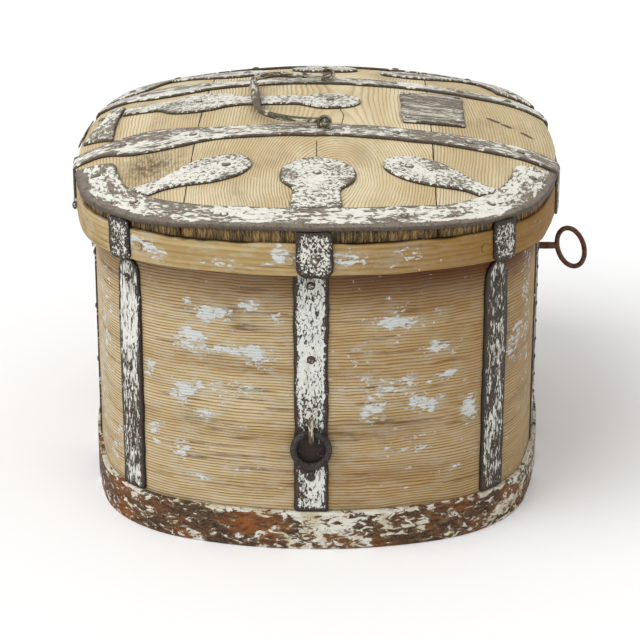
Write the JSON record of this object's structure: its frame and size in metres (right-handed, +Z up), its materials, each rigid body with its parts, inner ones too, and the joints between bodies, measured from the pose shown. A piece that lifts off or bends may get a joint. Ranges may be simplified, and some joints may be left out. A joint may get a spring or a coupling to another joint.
{
  "type": "wooden strongbox",
  "caption": "Oval bentwood chest with a domed, iron-bound lid on strap hinges, a folding bail handle, a ring pull, and a key that drives the bolt of an inside lock.",
  "frame": {"origin": "centre of the chest's underside", "axes": "+Z up, +Y along the chest, away from the end with the ring pull, +X towards the lock and key"},
  "size_m": [0.4162, 0.5212, 0.2937],
  "materials": {
    "wood": "bent pine, honey brown and worn, with the last of a pale blue-white paint",
    "pale_wood": "bare dry pine boards",
    "painted_iron": "forged iron under flaking off-white paint",
    "iron": "dark forged iron",
    "rusty_iron": "forged iron with brown rust and some old paint"
  },
  "bodies": {
    "chest": {"base_board": "wood", "body_wall": "wood", "foot_band": "rusty_iron", "end_strap_near": "painted_iron", "end_strap_far": "painted_iron", "corner_straps_near": "painted_iron", "corner_straps_far": "painted_iron", "front_strap_near": "iron", "front_strap_far": "iron", "hinge_leaf_near": "iron", "hinge_leaf_far": "iron", "hinge_pins": "iron", "ring_staple": "iron", "lock_case": "iron", "lock_cover": "iron", "body_nails": "iron"},
    "lid": {"lid_hoop": "wood", "lid_board_back": "pale_wood", "lid_board_centre": "pale_wood", "lid_board_front": "pale_wood", "hoop_pegs": "wood", "end_band_near": "painted_iron", "end_band_far": "painted_iron", "disc_near": "painted_iron", "disc_far": "painted_iron", "leaves_near": "painted_iron", "leaves_far": "painted_iron", "edge_plate": "painted_iron", "middle_strap": "painted_iron", "cross_strap_near": "painted_iron", "cross_strap_far": "painted_iron", "patch_plate": "iron", "clips_near": "painted_iron", "clips_far": "painted_iron", "bail_eyes": "iron", "lid_catch": "iron", "lid_nails": "iron"},
    "bail": {"bail": "iron"},
    "ring": {"pull_ring": "iron"},
    "key": {"key": "rusty_iron"},
    "bolt": {"lock_bolt": "iron"}
  },
  "joints": [
    {"name": "lid_hinge", "type": "hinge", "parent": "chest", "child": "lid", "pos_m": [-0.1858, 0, 0.2225], "axis": [0, -1, 0], "range_deg": [0, 100]},
    {"name": "bail_swing", "type": "hinge", "parent": "lid", "child": "bail", "pos_m": [0.007, 0, 0.28759], "axis": [0, 1, 0], "range_deg": [0, 170]},
    {"name": "ring_swing", "type": "hinge", "parent": "chest", "child": "ring", "pos_m": [0, -0.24515, 0.0944], "axis": [-1, 0, 0], "range_deg": [0, 110]},
    {"name": "key_turn", "type": "hinge", "parent": "chest", "child": "key", "pos_m": [0.19, 0, 0.163], "axis": [-1, 0, 0], "range_deg": [0, 180]},
    {"name": "bolt_slide", "type": "slide", "parent": "chest", "child": "bolt", "axis": [0, 1, 0], "range_m": [0, 0.016]}
  ],
  "couplings": [
    {"joint": "bolt_slide", "follows": "key_turn", "m_per_rad": 0.005093}
  ]
}
